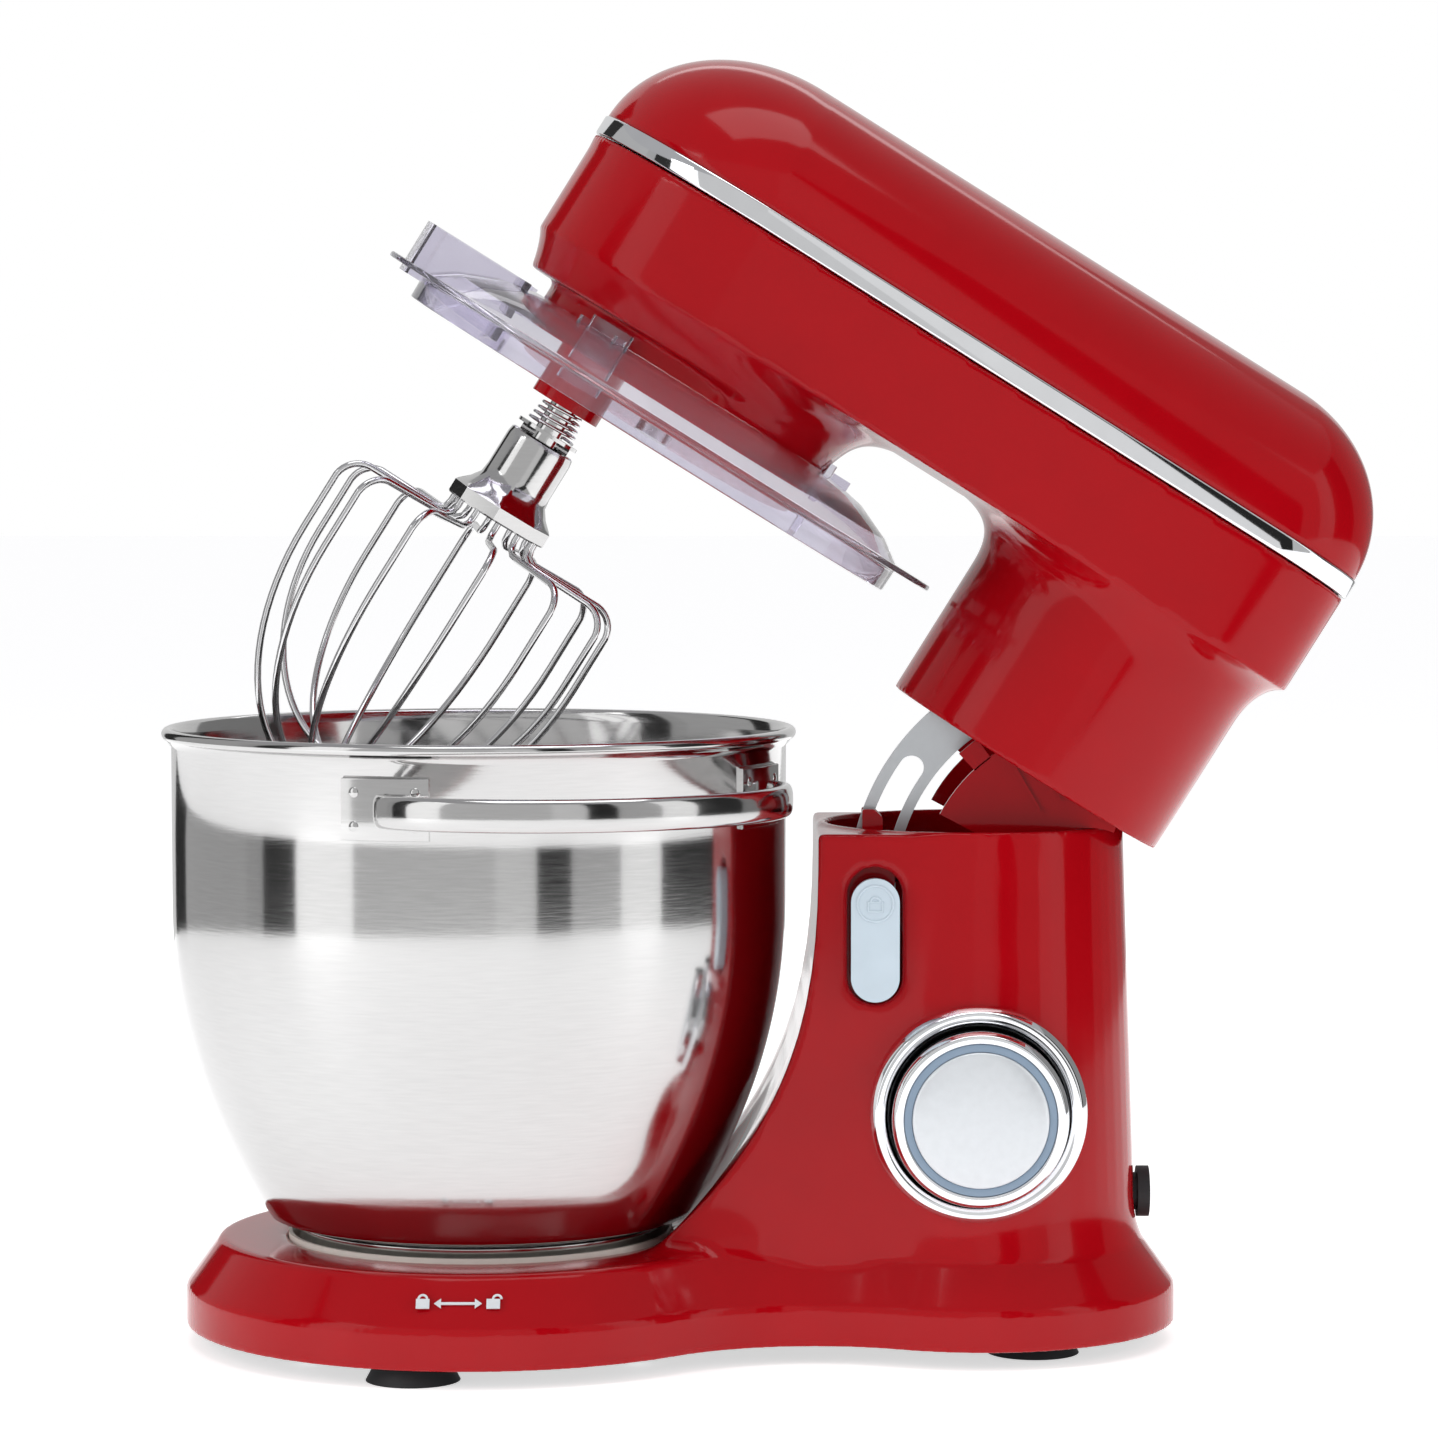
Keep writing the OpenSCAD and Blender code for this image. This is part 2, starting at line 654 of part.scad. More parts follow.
module large_pulley() {
    color([0.85, 0.85, 0.82]) translate([counter_x, 0, 0]) {
        tube(big_pulley_r, big_pulley_r - 4, 323, 333);
        tube(10, 4, 323, 333);
        difference() {
            tube(big_pulley_r - 3.9, 9.9, 326, 330);
            for (a = [0:60:300]) rotate([0, 0, a]) translate([23, 0, 0]) rod(7, 320, 335);
        }
    }
}
module drive_pinion() {
    color([0.7, 0.7, 0.68]) translate([counter_x, 0, 282]) difference() {
        linear_extrude(12) polygon(gear_outline(spur_mod, pinion_teeth, 1.25, 1.5, 0.2, 0));
        translate([0, 0, -1]) cylinder(r = 4, h = 14);
    }
}
module spindle() {
    color([0.7, 0.7, 0.72]) rod(7, 232, 296);
}
module spindle_gear() {
    color([0.92, 0.92, 0.88]) translate([0, 0, 283]) difference() {
        linear_extrude(9) polygon(gear_outline(spur_mod, spur_teeth, 0.9, 1.5, 0.2, 180 / spur_teeth));
        translate([0, 0, -1]) cylinder(r = 7, h = 12);
        for (a = [0:60:300]) rotate([0, 0, a]) translate([21, 0, -1]) cylinder(r = 8, h = 12);
    }
}
module planet_carrier() {
    color([0.66, 0.03, 0.06]) difference() {
        union() {
            rod(carrier_r, 235, 239);
            translate([-orbit, 0, 0]) rod(boss_r, boss_z, 240);
            rod(11, 238, 246);
        }
        rod(7, 230, 260);
        translate([-orbit, 0, 0]) rod(shaft_r + fit, 210, 260);
    }
}

// ---------------------------------------------------------------- beater shaft and whisk

module on_beater() {
    translate([-orbit, 0, 0]) children();
}
module beater_shaft() {
    color([0.75, 0.75, 0.77]) on_beater() difference() {
        rod(shaft_r, shaft_end_z, 249);
        translate([0, 0, 204.2]) rod_x(1.4, -20, 20);
    }
}
module planet_pinion() {
    color([0.72, 0.62, 0.4]) on_beater() translate([0, 0, 241]) difference() {
        linear_extrude(8) polygon(gear_outline(ring_mod, planet_teeth, 1.3, 1.6, 0.2, 180));
        translate([0, 0, -1]) cylinder(r = shaft_r, h = 10);
    }
}
module cross_pin() {
    color([0.8, 0.8, 0.82]) on_beater() translate([0, 0, 204.2]) rod_x(1.4, -10, 10);
}
module shaft_spring() {
    color([0.7, 0.7, 0.72]) on_beater() for (i = [0:4]) translate([0, 0, 208.3 + 2.1 * i])
        rotate_extrude() translate([10.4 - 0.5 * i, 0]) circle(r = 1.15, $fn = 16);
}
module spring_washer() {
    color([0.82, 0.82, 0.84]) on_beater() tube(12.4, shaft_r, 205.7, 207);
}

module whisk_hub() {
    color([0.8, 0.8, 0.81]) on_beater() difference() {
        union() {
            rod(hub_r, hub_low_z, hub_top_z);
            translate([0, 0, plate_z + 5]) cylinder(r1 = 20, r2 = hub_r, h = hub_low_z - plate_z - 5 + eps);
        }
        rod(shaft_r + fit, shaft_end_z - 0.5, hub_top_z + 1);
    }
}
module whisk_plate() {
    color([0.8, 0.8, 0.81]) on_beater() difference() {
        translate([0, 0, plate_z]) cylinder(r = 20.6, h = 5, $fn = 8);
        for (i = [0:2 * loops - 1]) rotate([0, 0, 180 / loops * i + 8])
            translate([17.6, 0, 0]) rod(wire_d / 2, plate_z - 1, plate_z + 6);
    }
}

// Side view of one loop: from the plate out to the bend, down the bulge, to the bottom.
function wire_side(lift) = concat(
    [[17.6, plate_z + 3], [17.6, wire_top_z - 5], [19.6, wire_top_z - 8.4], [24, wire_top_z - 9.5]],
    [for (a = [90:-22.5:0]) [whisk_r - bend_r + bend_r * cos(a), wire_top_z - 9.5 - bend_r + bend_r * sin(a)]],
    [for (a = [0:9:81]) let (z = shoulder_z - (shoulder_z - wire_low_z - lift) * sin(a))
        [whisk_r * pow(cos(a), 0.9), z]]);
module whisk_wires() {
    color([0.82, 0.82, 0.83]) on_beater() for (i = [0:loops - 1]) {
        side = wire_side(i * (wire_d + 0.2));
        n = len(side);
        path = concat([for (p = side) [p[0], 0, p[1]]],
            [[0, 0, wire_low_z + i * (wire_d + 0.2)]], [for (k = [n - 1:-1:0]) [-side[k][0], 0, side[k][1]]]);
        rotate([0, 0, 8 + 180 / loops * i]) bar(path, wire_d / 2, [0, 1, 0], 6);
    }
}

placed() base_housing();
placed() base_cover();
placed() suction_feet();
placed() base_screws();
placed() bowl_lock_ring();
placed() hinge_bracket();
placed() hinge_pin();
placed() hinge_spring();
placed() knob_bezel();
placed() speed_switch();
placed() control_board();
placed() cord_gland();
placed() release_button();
placed() latch_pin();
placed() knob_rim();
placed() knob_cap();
placed() knob_light_ring();
placed() knob_shaft();
placed() bowl_shell();
placed() bowl_foot();
placed() bowl_grip();
placed() grip_plates();
tilted() head_lower_shell();
tilted() head_upper_shell();
tilted() head_band();
tilted() head_chassis();
tilted() neck_liner();
tilted() hook_plate();
tilted() ring_gear();
tilted() motor_frame();
tilted() motor_stator();
tilted() field_coils();
tilted() brush_holders();
tilted() shaft_bearings();
tilted() drive_belt();
tilted() head_screws();
tilted() splash_guard();
tilted() motor_shaft();
tilted() armature_core();
tilted() commutator();
tilted() cooling_fan();
tilted() motor_pulley();
tilted() counter_shaft();
tilted() large_pulley();
tilted() drive_pinion();
tilted() planet_carrier();
tilted() spindle();
tilted() spindle_gear();
tilted() beater_shaft();
tilted() planet_pinion();
tilted() cross_pin();
tilted() shaft_spring();
tilted() spring_washer();
tilted() whisk_hub();
tilted() whisk_plate();
tilted() whisk_wires();
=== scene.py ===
import json
from math import atan2, cos, pi, radians, sin, sqrt

import bmesh
import bpy
import numpy as np
from mathutils import Matrix, Vector


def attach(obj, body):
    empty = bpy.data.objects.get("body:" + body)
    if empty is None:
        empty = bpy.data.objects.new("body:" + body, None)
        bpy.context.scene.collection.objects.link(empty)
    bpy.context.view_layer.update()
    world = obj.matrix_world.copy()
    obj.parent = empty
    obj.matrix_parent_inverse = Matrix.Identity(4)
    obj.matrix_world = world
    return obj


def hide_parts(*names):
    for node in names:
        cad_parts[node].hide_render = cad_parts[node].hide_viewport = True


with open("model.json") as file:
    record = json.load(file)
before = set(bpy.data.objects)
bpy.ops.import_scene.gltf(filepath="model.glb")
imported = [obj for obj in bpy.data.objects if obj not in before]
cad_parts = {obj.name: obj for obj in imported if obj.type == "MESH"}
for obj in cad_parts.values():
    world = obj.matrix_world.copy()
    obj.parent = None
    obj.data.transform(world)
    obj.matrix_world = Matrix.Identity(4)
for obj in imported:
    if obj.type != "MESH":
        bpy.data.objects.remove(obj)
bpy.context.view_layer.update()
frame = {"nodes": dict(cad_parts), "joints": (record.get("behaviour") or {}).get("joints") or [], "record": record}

# ---------------------------------------------------------------- places, from the frame
MM = 0.001
JOINTS = {j["name"]: j for j in frame["joints"]}
BOWL = Vector(JOINTS["bowl_twist"]["pos_m"])
HINGE = Vector(JOINTS["head_tilt"]["pos_m"])
UP = Vector(JOINTS["planet_spin"]["axis"])
TILT = atan2(UP.x, UP.z)

# Points are written in millimetres from the bowl's axis with the table at z = 0. Those on the
# head are written with the head down, and HEAD turns them up to where the head rests.
BENCH = Matrix.Translation((BOWL.x, BOWL.y, 0)) @ Matrix.Scale(MM, 4)
HEAD = (Matrix.Translation(HINGE) @ Matrix.Rotation(TILT, 4, "Y")
        @ Matrix.Translation(-HINGE) @ BENCH)
ORBIT = (Vector(JOINTS["beater_spin"]["pos_m"]) - Vector(JOINTS["planet_spin"]["pos_m"])).length / MM
KNOB = BENCH.inverted() @ Vector(JOINTS["knob_turn"]["pos_m"])
BEATER = HEAD @ Matrix.Translation((-ORBIT, 0, 0))


def span(node, matrix=BENCH):
    """The lowest and highest corners of a CAD node, in millimetres in the frame of matrix."""
    inverse = matrix.inverted()
    co = np.array([inverse @ v.co for v in frame["nodes"][node].data.vertices])
    return co.min(0), co.max(0)


# ---------------------------------------------------------------- materials

def material(name, color, rough, metal=0.0, coat=0.0, grain=None, bump=0.0, stretch=(1, 1, 1),
             vary=0.05, transmission=0.0, ior=1.5):
    """A procedural material: noise at the grain's scale moves its roughness and its bump."""
    mat = bpy.data.materials.new(name)
    mat.use_nodes = True
    nodes, links = mat.node_tree.nodes, mat.node_tree.links
    shader = nodes["Principled BSDF"]
    shader.inputs["Metallic"].default_value = metal
    shader.inputs["Coat Weight"].default_value = coat
    shader.inputs["Coat Roughness"].default_value = 0.04
    shader.inputs["IOR"].default_value = ior
    shader.inputs["Transmission Weight"].default_value = transmission
    place = nodes.new("ShaderNodeTexCoord")
    scale = nodes.new("ShaderNodeMapping")
    scale.inputs["Scale"].default_value = stretch
    noise = nodes.new("ShaderNodeTexNoise")
    noise.inputs["Scale"].default_value = grain or 60
    noise.inputs["Detail"].default_value = 3
    links.new(place.outputs["Object"], scale.inputs["Vector"])
    links.new(scale.outputs["Vector"], noise.inputs["Vector"])
    level = nodes.new("ShaderNodeMapRange")
    level.inputs["To Min"].default_value = max(0.0, rough - vary)
    level.inputs["To Max"].default_value = rough + vary
    links.new(noise.outputs["Fac"], level.inputs["Value"])
    links.new(level.outputs["Result"], shader.inputs["Roughness"])
    tint = nodes.new("ShaderNodeMixRGB")
    tint.inputs["Color1"].default_value = (*[c * 0.93 for c in color], 1)
    tint.inputs["Color2"].default_value = (*[min(1.0, c * 1.05) for c in color], 1)
    links.new(noise.outputs["Fac"], tint.inputs["Fac"])
    links.new(tint.outputs["Color"], shader.inputs["Base Color"])
    if bump:
        relief = nodes.new("ShaderNodeBump")
        relief.inputs["Strength"].default_value = bump
        relief.inputs["Distance"].default_value = 0.0004
        links.new(noise.outputs["Fac"], relief.inputs["Height"])
        links.new(relief.outputs["Normal"], shader.inputs["Normal"])
    return mat


RED = (0.37, 0.0012, 0.005)
MATERIALS = {
    "red_plastic": material("red_plastic", RED, 0.11, coat=0.06, grain=55, bump=0.02, vary=0.02,
                            ior=1.3),
    "chrome": material("chrome", (0.86, 0.87, 0.89), 0.05, metal=1.0, grain=80, vary=0.02),
    "stainless": material("stainless", (0.60, 0.597, 0.595), 0.105, metal=1.0, grain=90, bump=0.015,
                          stretch=(1, 1, 14), vary=0.03),
    "polished": material("polished", (0.68, 0.68, 0.69), 0.1, metal=1.0, grain=70, vary=0.03),
    "steel": material("steel", (0.62, 0.62, 0.64), 0.28, metal=1.0, grain=220, bump=0.05, vary=0.08),
    "zinc": material("zinc", (0.55, 0.57, 0.59), 0.42, metal=1.0, grain=260, bump=0.12, vary=0.1),
    "clear": material("clear", (0.90, 0.88, 0.98), 0.04, grain=70, vary=0.015, transmission=0.95,
                      ior=1.3),
    "black_rubber": material("black_rubber", (0.012, 0.012, 0.014), 0.6, grain=400, bump=0.15),
    "black_plastic": material("black_plastic", (0.02, 0.02, 0.022), 0.45, grain=500, bump=0.1),
    "pale_button": material("pale_button", (0.56, 0.66, 0.74), 0.25, coat=0.4, grain=90, vary=0.03),
    "knob_disc": material("knob_disc", (0.70, 0.73, 0.76), 0.3, metal=0.35, grain=300, bump=0.03,
                          vary=0.04),
    "knob_grey": material("knob_grey", (0.22, 0.30, 0.40), 0.3, grain=120),
    "copper": material("copper", (0.72, 0.33, 0.12), 0.3, metal=1.0, grain=500, bump=0.3),
    "board": material("board", (0.03, 0.2, 0.07), 0.4, grain=300),
    "nylon": material("nylon", (0.85, 0.83, 0.76), 0.45, grain=200, bump=0.05),
    "core": material("core", (0.30, 0.29, 0.28), 0.5, metal=0.7, stretch=(1, 1, 30), grain=60,
                     bump=0.2),
}
SLOTS = {s["node"]: s["material_slot"] for s in frame["record"]["subparts"]}


def smooth_by_angle(obj, degrees=32):
    """Shades a mesh smooth, with sharp edges where its faces meet at a greater angle."""
    bm = bmesh.new()
    bm.from_mesh(obj.data)
    for face in bm.faces:
        face.smooth = True
    for edge in bm.edges:
        edge.smooth = len(edge.link_faces) == 2 and edge.calc_face_angle(0) < radians(degrees)
    bm.to_mesh(obj.data)
    bm.free()


for node, cad in frame["nodes"].items():
    cad.data.materials.clear()
    cad.data.materials.append(MATERIALS[SLOTS[node]])
    smooth_by_angle(cad)


# ---------------------------------------------------------------- mesh tools

def piece(name, verts, faces, matrix, body, slot, replaces=(), sharp=32):
    """Makes a finished piece: points in millimetres in the frame of matrix, riding on a body."""
    mesh = bpy.data.meshes.new(name)
    mesh.from_pydata([matrix @ Vector(v) for v in verts], [], faces)
    obj = bpy.data.objects.new(name, mesh)
    bpy.context.scene.collection.objects.link(obj)
    bm = bmesh.new()
    bm.from_mesh(mesh)
    bmesh.ops.remove_doubles(bm, verts=bm.verts, dist=1e-7)
    bmesh.ops.recalc_face_normals(bm, faces=bm.faces)
    bm.to_mesh(mesh)
    bm.free()
    dress(obj, body, slot, replaces, sharp)


def dress(obj, body, slot, replaces=(), sharp=32):
    """Gives a piece its material, shading, body and the CAD nodes that it stands for."""
    obj.data.materials.clear()
    obj.data.materials.append(MATERIALS[slot])
    if obj.type == "MESH":
        smooth_by_angle(obj, sharp)
    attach(obj, body)
    if replaces:
        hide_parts(*replaces)


def skin(rings, closed=True, loop=False):
    """Points and faces over rings of equal length. A loop joins the last ring to the first."""
    n, m = len(rings[0]), len(rings)
    verts = [p for ring in rings for p in ring]
    faces = []
    for i in range(m if loop else m - 1):
        for j in range(n if closed else n - 1):
            a, b = i * n + j, i * n + (j + 1) % n
            c, d = ((i + 1) % m) * n + (j + 1) % n, ((i + 1) % m) * n + j
            faces.append((a, b, c, d))
    return verts, faces


def join(verts, faces, more_verts, more_faces):
    """Adds one set of points and faces to another."""
    first = len(verts)
    verts.extend(more_verts)
    faces.extend(tuple(i + first for i in face) for face in more_faces)


def turned(profile, steps=160, start=0.0, sweep=360.0):
    """Turns a closed profile of (radius, height) points about Z."""
    whole = sweep >= 360
    count = steps if whole else steps + 1
    angles = [radians(start + sweep * i / steps) for i in range(count)]
    rings = [[(r * cos(a), r * sin(a), z) for r, z in profile] for a in angles]
    verts, faces = skin(rings, True, whole)
    if not whole:
        n = len(profile)
        faces += [tuple(range(n)), tuple(range(len(verts) - 1, len(verts) - 1 - n, -1))]
    return verts, faces


def rounded(points, radius=0.6, steps=3):
    """A closed outline of (x, y) points with each corner rounded, by less where a side is short."""
    out = []
    n = len(points)
    for i in range(n):
        p, a, b = (Vector(points[k % n]) for k in (i, i - 1, i + 1))
        cut = min(radius, (a - p).length * 0.45, (b - p).length * 0.45)
        if cut < 1e-4 or (a - p).angle(b - p, pi) > radians(165):
            out.append(tuple(p))
            continue
        u, v = p + (a - p).normalized() * cut, p + (b - p).normalized() * cut
        for k in range(steps + 1):
            t = k / steps
            out.append(tuple(u * (1 - t) ** 2 + p * 2 * t * (1 - t) + v * t * t))
    return out


def arc(cx, cy, r, a0, a1, steps):
    """Points on an arc from angle a0 to a1, in degrees."""
    angles = [radians(a0 + (a1 - a0) * i / steps) for i in range(steps + 1)]
    return [(cx + r * cos(a), cy + r * sin(a)) for a in angles]


def wire(name, points, radius, matrix, body, slot, replaces=(), sides=5):
    """A round wire along each path of points, as one mesh with flat ends."""
    curve = bpy.data.curves.new(name, "CURVE")
    curve.dimensions = "3D"
    curve.bevel_depth = radius * MM
    curve.bevel_resolution = sides
    curve.use_fill_caps = True
    for path in points:
        spline = curve.splines.new("POLY")
        spline.points.add(len(path) - 1)
        for p, q in zip(spline.points, path):
            p.co = (*(matrix @ Vector(q)), 1)
    holder = bpy.data.objects.new(name, curve)
    bpy.context.scene.collection.objects.link(holder)
    mesh = bpy.data.meshes.new_from_object(holder.evaluated_get(bpy.context.evaluated_depsgraph_get()))
    bpy.data.objects.remove(holder)
    obj = bpy.data.objects.new(name, mesh)
    bpy.context.scene.collection.objects.link(obj)
    dress(obj, body, slot, replaces, 50)
    if slot == "stainless":
        obj.data.materials[0] = MATERIALS["polished"]


def add_shell(obj, rings, matrix):
    """Adds a closed thin shell to a mesh, so that remeshing the two gives its smoother curve."""
    verts, faces = skin(rings, True, True)
    bm = bmesh.new()
    bm.from_mesh(obj.data)
    points = [bm.verts.new(matrix @ Vector(v)) for v in verts]
    added = [bm.faces.new([points[i] for i in face]) for face in faces]
    bmesh.ops.recalc_face_normals(bm, faces=added)
    bm.to_mesh(obj.data)
    bm.free()


def filleted(obj, voxel, passes, weight, matrix, polish=2, finish=None):
    """Remeshes obj finely and fills its inner corners to smooth fillets, where weight(x, y, z) is
    above 0. The points that weight and finish read are arrays in millimetres in the frame of matrix."""
    obj.data.transform(matrix.inverted())
    remesh = obj.modifiers.new("remesh", "REMESH")
    remesh.mode = "VOXEL"
    remesh.voxel_size = voxel
    mesh = bpy.data.meshes.new_from_object(obj.evaluated_get(bpy.context.evaluated_depsgraph_get()))
    obj.modifiers.clear()
    obj.data = mesh
    co = np.empty(len(mesh.vertices) * 3)
    mesh.vertices.foreach_get("co", co)
    co = co.reshape(-1, 3)
    ends = np.empty(len(mesh.edges) * 2, int)
    mesh.edges.foreach_get("vertices", ends)
    a, b = ends.reshape(-1, 2).T
    degree = np.bincount(np.concatenate([a, b]), minlength=len(co))[:, None]

    def pull(points):
        total = np.empty_like(points)
        for k in range(3):
            total[:, k] = (np.bincount(a, points[b, k], len(points))
                           + np.bincount(b, points[a, k], len(points)))
        return total / degree - points

    share = weight(*co.T)[:, None]
    for i in range(passes):
        if i % 10 == 0:
            mesh.vertices.foreach_set("co", co.ravel())
            mesh.update()
            normal = np.empty(len(co) * 3)
            mesh.vertices.foreach_get("normal", normal)
            normal = normal.reshape(-1, 3)
        step = pull(co)
        co += 0.9 * share * step * (np.sum(step * normal, axis=1, keepdims=True) > 0)
    for _ in range(polish):
        co += 0.55 * pull(co)
        co -= 0.35 * pull(co)
    if finish:
        finish(co)
    mesh.vertices.foreach_set("co", co.ravel())
    mesh.transform(matrix)
    mesh.update()


def copy_of(node, name):
    """A new object with a copy of a CAD node's mesh, at the same place."""
    obj = bpy.data.objects.new(name, frame["nodes"][node].data.copy())
    bpy.context.scene.collection.objects.link(obj)
    return obj


def near(value, centre, width):
    """1 at centre, falling smoothly to 0 at width away from it."""
    return np.clip(1.5 - 1.5 * np.abs(value - centre) / width, 0, 1)


# ---------------------------------------------------------------- base and column

def base_outline(inset):
    """The base seen from above: two round lobes with a hollow waist between them."""
    front, rear, waist, heel = 110, 75, 75, 185
    a, b = front + waist, rear + waist
    x = (a * a - b * b + heel * heel) / (2 * heel)
    y = sqrt(a * a - x * x)
    a0, a1 = atan2(y, x) * 180 / pi, atan2(y, x - heel) * 180 / pi
    return (arc(heel, 0, rear - inset, -a1, a1, 96)
            + arc(x, y, waist + inset, a1 + 180, a0 + 180, 40)[1:]
            + arc(0, 0, front - inset, a0, 360 - a0, 180)[1:]
            + arc(x, -y, waist + inset, 180 - a0, 180 - a1, 40)[1:-1])


def base_skin():
    """The red base and column, with the casting's soft inner corners."""
    obj = copy_of("base_housing", "base_skin")
    deck = 39
    levels = [(0, 6.5), (0, 21), (13, 39), (14.6, 38.4), (1.6, 20.4), (1.6, 6.5)]
    add_shell(obj, [[(x, y, z) for x, y in base_outline(inset)] for inset, z in levels], BENCH)

    def soft(x, y, z):
        wings = near(z, deck + 20, 62) * (np.abs(y) > 30) * (x > 50)
        foot = near(z, deck, 14)
        outside = (z > deck - 1.5) & (np.hypot(x, y) > 76)
        return np.maximum(wings, foot) * outside

    def pocket_floor(points):
        """Keeps the release button's pocket deep enough for the button's travel."""
        x, y, z = points.T
        pocket = (np.abs(x - 146) < 11) & (np.abs(z - 155.5) < 26)
        points[pocket & (y > -49.3) & (y < -45.2), 1] = -45.8

    filleted(obj, 1.15, 220, soft, BENCH, 6, pocket_floor)
    dress(obj, "base", "red_plastic", ["base_housing"], 45)


def lock_symbols():
    """Two padlocks and an arrow, printed on the base's slope to show which way the bowl locks."""
    slope = atan2(18, 13)
    spot = BENCH @ Matrix.Translation((-3, 0, 30.6)) @ Matrix.Translation((0, -103.6, 0))
    face = spot @ Matrix.Rotation(slope, 4, "X")
    shapes = []
    for x, lift in ((-12.5, 0.0), (12.5, 1.4)):
        shapes.append([(x - 2.4, -2.6), (x + 2.4, -2.6), (x + 2.4, 1.2), (x - 2.4, 1.2)])
        outer = arc(x + lift, 1.2, 1.9, 0, 180, 10)
        inner = arc(x + lift, 1.2, 1.1, 180, 0, 10)
        shapes.append(outer + inner)
    shapes.append([(-8.5, -0.6), (-6, 1.3), (-6, -0.1), (6, -0.1), (6, 1.3), (8.5, -0.6),
                   (6, -2.5), (6, -1.1), (-6, -1.1), (-6, -2.5)])
    verts, faces = [], []
    for shape in shapes:
        first, n = len(verts), len(shape)
        verts += [(x, y, 0.0) for x, y in shape] + [(x, y, 0.35) for x, y in shape]
        faces += [tuple(range(first + n - 1, first - 1, -1)), tuple(range(first + n, first + 2 * n))]
        faces += [(first + i, first + (i + 1) % n, first + n + (i + 1) % n, first + n + i)
                  for i in range(n)]
    piece("lock_symbols", verts, faces, face, "base", "knob_disc")


def bezel():
    """The knob's chrome surround: a ring that stands further out towards the bowl."""
    rings = []
    for i in range(160):
        a = 2 * pi * i / 160
        lean = -1.6 * cos(a)
        section = rounded([(28.9, 50), (28.9, 60.6), (32.8, 60.8), (34.0, 64.6 + lean),
                           (37.4, 65.0 + lean), (39.6, 61.5 + lean), (39.6, 52)], 1.1)
        rings.append([(KNOB.x + r * cos(a), -h, KNOB.z + r * sin(a)) for r, h in section])
    verts, faces = skin(rings, True, True)
    piece("bezel", verts, faces, BENCH, "base", "chrome", ["knob_bezel"], 40)


def knob():
    """The knob's brushed rim, its grey ring and its slightly domed disc."""
    turn = BENCH @ Matrix.Translation((KNOB.x, 0, KNOB.z)) @ Matrix.Rotation(pi / 2, 4, "X")
    parts = [("dial_rim", [(27.7, 62), (31.9, 62), (31.9, 74), (30.6, 76.3), (27.7, 76.3)],
              "chrome", "knob_rim"),
             ("dial_ring", [(24.7, 62), (27.6, 62), (27.6, 76.0), (24.7, 76.0)],
              "knob_grey", "knob_light_ring")]
    for name, outline, slot, node in parts:
        verts, faces = turned(rounded(outline, 0.5))
        piece(name, verts, faces, turn, "speed_knob", slot, [node])
    dome = [(24.6 * cos(radians(a)), 76.2 + 2.4 * sin(radians(a))) for a in range(0, 90, 6)]
    verts, faces = turned([(0.02, 61.6), (24.6, 61.6)] + dome + [(0.02, 78.6)])
    piece("dial_disc", verts, faces, turn, "speed_knob", "knob_disc", ["knob_cap"])


def button_mark():
    """A raised ring with a small padlock near the top of the release button."""
    low, high = span("release_button")
    spot = ((low[0] + high[0]) / 2, low[1] + 0.1, high[2] - 9.1)
    flat = BENCH @ Matrix.Translation(spot) @ Matrix.Rotation(pi / 2, 4, "X")
    ring = [(6.5 * cos(2 * pi * i / 64), 6.5 * sin(2 * pi * i / 64), 0) for i in range(64)]
    shackle = [(px, py, 0) for px, py in arc(0, 0.6, 1.7, 0, 180, 12)]
    body = [(-2.6, -2.8, 0), (2.6, -2.8, 0), (2.6, 0.6, 0), (-2.6, 0.6, 0)]
    wire("button_mark", [ring + ring[:1], shackle, body + body[:1]], 0.55, flat, "release",
         "pale_button", sides=3)


# ---------------------------------------------------------------- bowl

BOWL_R = 114.3


def bowl_skin():
    """The bowl: one turned sheet with a rolled rim, a round belly and a foot."""
    wall, straight = 1.1, 165
    outer = [(BOWL_R - 0.001587 * (straight - z) ** 2.1, z) for z in np.linspace(47, straight, 48)]
    rim = arc(114.4 + 1.5, 226.8, 2.2, -75, 150, 14)
    inner = [(r - wall, z + (0.4 if z < 60 else 0)) for r, z in reversed(outer)]
    profile = ([(0.02, 43.6), (60, 43.6), (66, 43.8), (72, 44.8), (75.6, 45.8)] + outer
               + [(114.35, 190), (114.4, 222)] + rim + [(113.25, 224), (113.25, 190)]
               + inner + [(74, 46.8), (66, 45.2), (60, 44.9), (0.02, 44.8)])
    verts, faces = turned(profile, 256)
    piece("bowl_skin", verts, faces, BENCH, "bowl", "stainless", ["bowl_shell"], 60)
    foot = rounded([(65.6, 43.5), (68.6, 43.5), (68, 40.6), (68.4, 34.8), (65.8, 34.8)], 0.5)
    verts, faces = turned(foot, 192)
    piece("bowl_ring", verts, faces, BENCH, "bowl", "stainless", ["bowl_foot"], 60)


